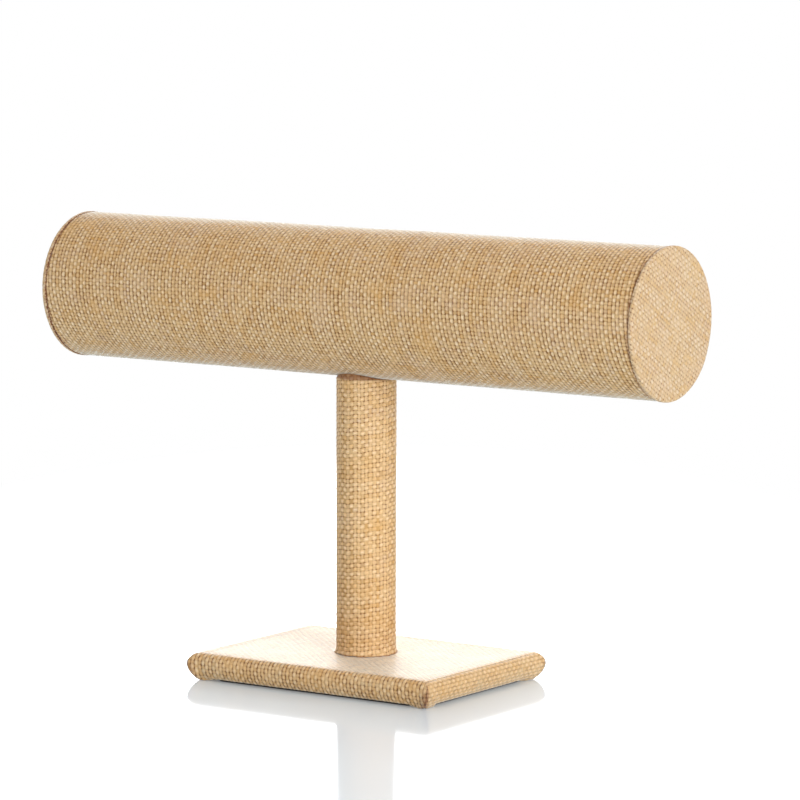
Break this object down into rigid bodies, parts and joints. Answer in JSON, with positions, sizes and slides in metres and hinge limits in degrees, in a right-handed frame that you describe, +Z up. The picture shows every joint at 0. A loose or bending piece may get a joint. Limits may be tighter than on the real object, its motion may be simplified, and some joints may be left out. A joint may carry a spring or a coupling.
{
  "type": "bracelet display stand",
  "caption": "T-shaped stand covered in coarse woven cloth: a round horizontal bar that bracelets slide over, on a round post and a rectangular base.",
  "frame": {"origin": "on the surface that the base stands on, under the axis of the post", "axes": "+X along the bar to its right end, +Z up the post, -Y towards the front"},
  "size_m": [0.279, 0.0844, 0.1796],
  "materials": {
    "bar_cloth": "coarse plain-woven natural cloth, cream floats over tan gaps, dry and slightly fuzzy",
    "end_cloth": "the same cloth, set on the bias on the end discs",
    "post_cloth": "the same cloth as a tight sleeve",
    "base_cloth": "the same cloth, pulled over the board and folded at its corners",
    "tube_card": "spiral-wound brown cardboard",
    "end_card": "grey board",
    "core_wood": "raw wood and fibreboard",
    "lining_felt": "thin dark felt",
    "fixings": "bright zinc-plated steel"
  },
  "bodies": {
    "root": {"bar_tube": "tube_card", "bar_cover": "bar_cloth", "bar_screw": "fixings", "bar_washer": "fixings", "left_plug": "core_wood", "left_end_board": "end_card", "left_end_cover": "end_cloth", "right_plug": "core_wood", "right_end_board": "end_card", "right_end_cover": "end_cloth", "post_core": "core_wood", "post_cover": "post_cloth", "base_board": "core_wood", "base_cover": "base_cloth", "base_lining": "lining_felt", "base_screw": "fixings"}
  },
  "joints": []
}
